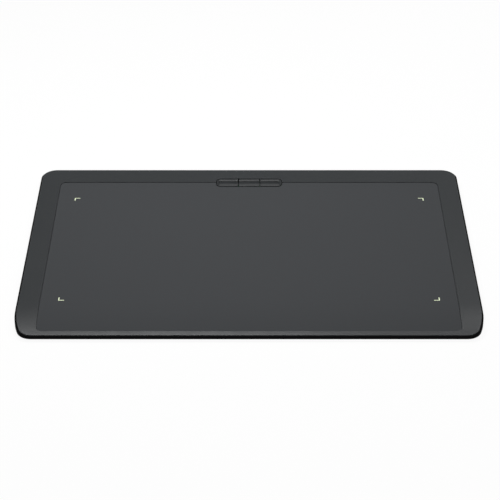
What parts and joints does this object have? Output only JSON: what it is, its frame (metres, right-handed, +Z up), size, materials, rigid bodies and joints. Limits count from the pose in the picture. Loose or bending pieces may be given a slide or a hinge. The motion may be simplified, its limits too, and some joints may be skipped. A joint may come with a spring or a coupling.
{
  "type": "graphics tablet",
  "caption": "Slim pen tablet with a large matt drawing panel, lit corner marks, a strip of press buttons at the back, a front that slopes to the desk and rubber feet.",
  "frame": {"origin": "under the middle of the case, on the surface that the feet stand on", "axes": "+X to the user's right, +Y to the back of the tablet, +Z up out of the drawing panel"},
  "size_m": [0.3202, 0.2346, 0.008],
  "materials": {
    "top_plastic": "satin moulded plastic, dark grey",
    "bottom_plastic": "fine texture, black",
    "drawing_film": "fine paper-like grain, dark grey",
    "adhesive": "clear adhesive film",
    "button_plastic": "satin",
    "mark_light": "milky light guide, lit pale yellow-green",
    "lamp": "clear over yellow phosphor",
    "status_pipe": "clear, polished end",
    "circuit_board": "green solder mask",
    "shield_foil": "rolled foil",
    "screw_steel": "black zinc",
    "chip": "moulded epoxy",
    "tin_steel": "bright tinned",
    "white_nylon": "natural nylon",
    "black_nylon": "glass-filled nylon",
    "plunger": "grey nylon",
    "ribbon": "white polyester tape",
    "pouch": "laminated foil pouch",
    "wire_red": "silicone sleeve",
    "wire_black": "silicone sleeve",
    "foot_rubber": "matt rubber"
  },
  "bodies": {
    "case": {"top_shell": "top_plastic", "bottom_shell": "bottom_plastic", "drawing_surface": "drawing_film", "surface_adhesive": "adhesive", "battery_tape": "adhesive", "corner_light_back_left": "mark_light", "corner_light_back_right": "mark_light", "corner_light_front_left": "mark_light", "corner_light_front_right": "mark_light", "corner_lamps": "lamp", "status_lamp": "lamp", "status_light_pipe": "status_pipe", "main_board": "circuit_board", "sensor_board": "circuit_board", "wireless_board": "circuit_board", "shield_sheet": "shield_foil", "case_screws": "screw_steel", "board_screws": "screw_steel", "processor_chip": "chip", "charger_chip": "chip", "wireless_lid": "tin_steel", "usb_socket_shell": "tin_steel", "sensor_ribbon_socket": "white_nylon", "main_ribbon_socket": "white_nylon", "battery_plug": "white_nylon", "battery_socket": "white_nylon", "usb_tongue": "black_nylon", "power_switch_body": "black_nylon", "switch_body_left": "black_nylon", "switch_body_middle": "black_nylon", "switch_body_right": "black_nylon", "ribbon_cable": "ribbon", "battery": "pouch", "battery_wire_red": "wire_red", "battery_wire_black": "wire_black", "foot_back_left": "foot_rubber", "foot_back_right": "foot_rubber", "foot_front_left": "foot_rubber", "foot_front_right": "foot_rubber"},
    "button_left": {"button_left": "button_plastic", "switch_plunger_left": "plunger"},
    "button_middle": {"button_middle": "button_plastic", "switch_plunger_middle": "plunger"},
    "button_right": {"button_right": "button_plastic", "switch_plunger_right": "plunger"},
    "power_slider": {"power_slider": "black_nylon"}
  },
  "joints": [
    {"name": "press_left", "type": "slide", "parent": "case", "child": "button_left", "axis": [0, 0, -1], "range_m": [0, 0.0004], "stiffness_N_per_m": 400, "springref_m": -0.0001},
    {"name": "press_middle", "type": "slide", "parent": "case", "child": "button_middle", "axis": [0, 0, -1], "range_m": [0, 0.0004], "stiffness_N_per_m": 400, "springref_m": -0.0001},
    {"name": "press_right", "type": "slide", "parent": "case", "child": "button_right", "axis": [0, 0, -1], "range_m": [0, 0.0004], "stiffness_N_per_m": 400, "springref_m": -0.0001},
    {"name": "power_slide", "type": "slide", "parent": "case", "child": "power_slider", "axis": [1, 0, 0], "range_m": [0, 0.002]}
  ]
}
